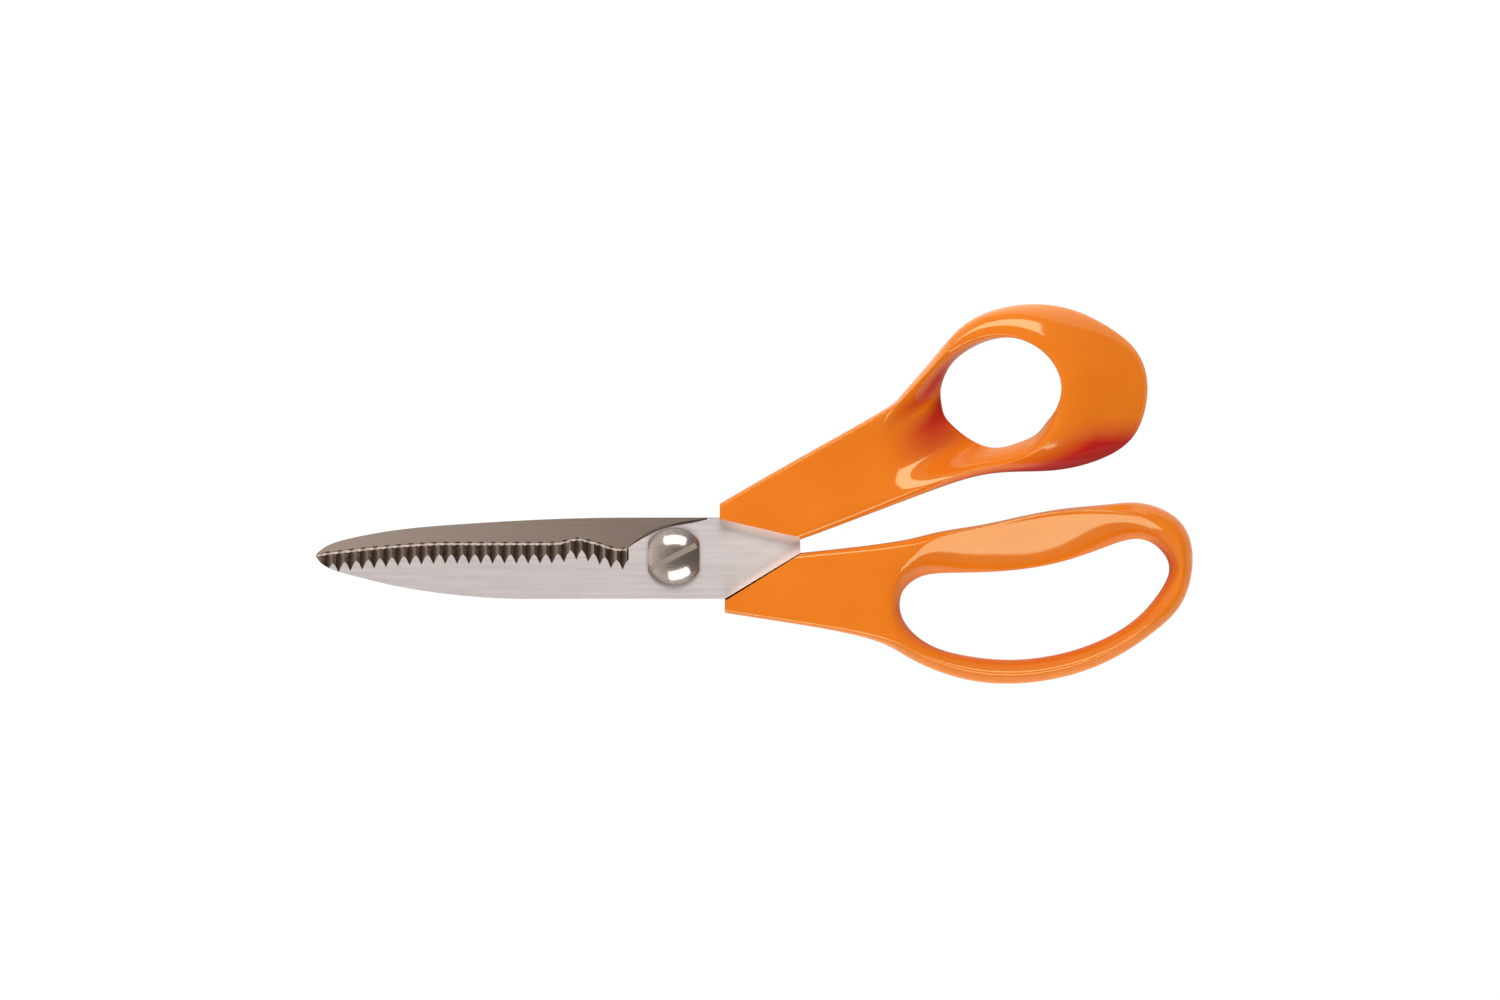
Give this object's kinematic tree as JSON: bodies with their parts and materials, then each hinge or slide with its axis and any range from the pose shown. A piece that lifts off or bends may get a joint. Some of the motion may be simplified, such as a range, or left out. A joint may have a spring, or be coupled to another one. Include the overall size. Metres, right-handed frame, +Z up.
{
  "type": "pinking shears",
  "caption": "Pinking shears with zigzag-toothed steel blades on a slotted pivot screw and moulded handles with a round thumb loop and a long finger loop.",
  "frame": {"origin": "middle of the closed shears' footprint, on the surface they lie on", "axes": "+X from the blades' tips to the handles, +Y towards the thumb loop, +Z up, out of the face with the screw's slot; the blades lie in a plane parallel to XY"},
  "size_m": [0.21, 0.0911, 0.0173],
  "materials": {
    "blade_steel": "stainless steel, ground lengthways outside and polished on the mating face",
    "handle_plastic": "glossy moulded orange plastic",
    "screw_steel": "polished steel",
    "washer_brass": "plain brass shim"
  },
  "bodies": {
    "finger_half": {"rear_blade": "blade_steel", "finger_handle": "handle_plastic", "pivot_screw": "screw_steel", "thrust_washer": "washer_brass", "lock_washer": "screw_steel", "lock_nut": "screw_steel"},
    "thumb_half": {"front_blade": "blade_steel", "thumb_handle": "handle_plastic"}
  },
  "joints": [
    {"name": "pivot", "type": "hinge", "parent": "finger_half", "child": "thumb_half", "pos_m": [-0.01923, -0.015, 0.01135], "axis": [0, 0, 1], "range_deg": [0, 90]}
  ]
}
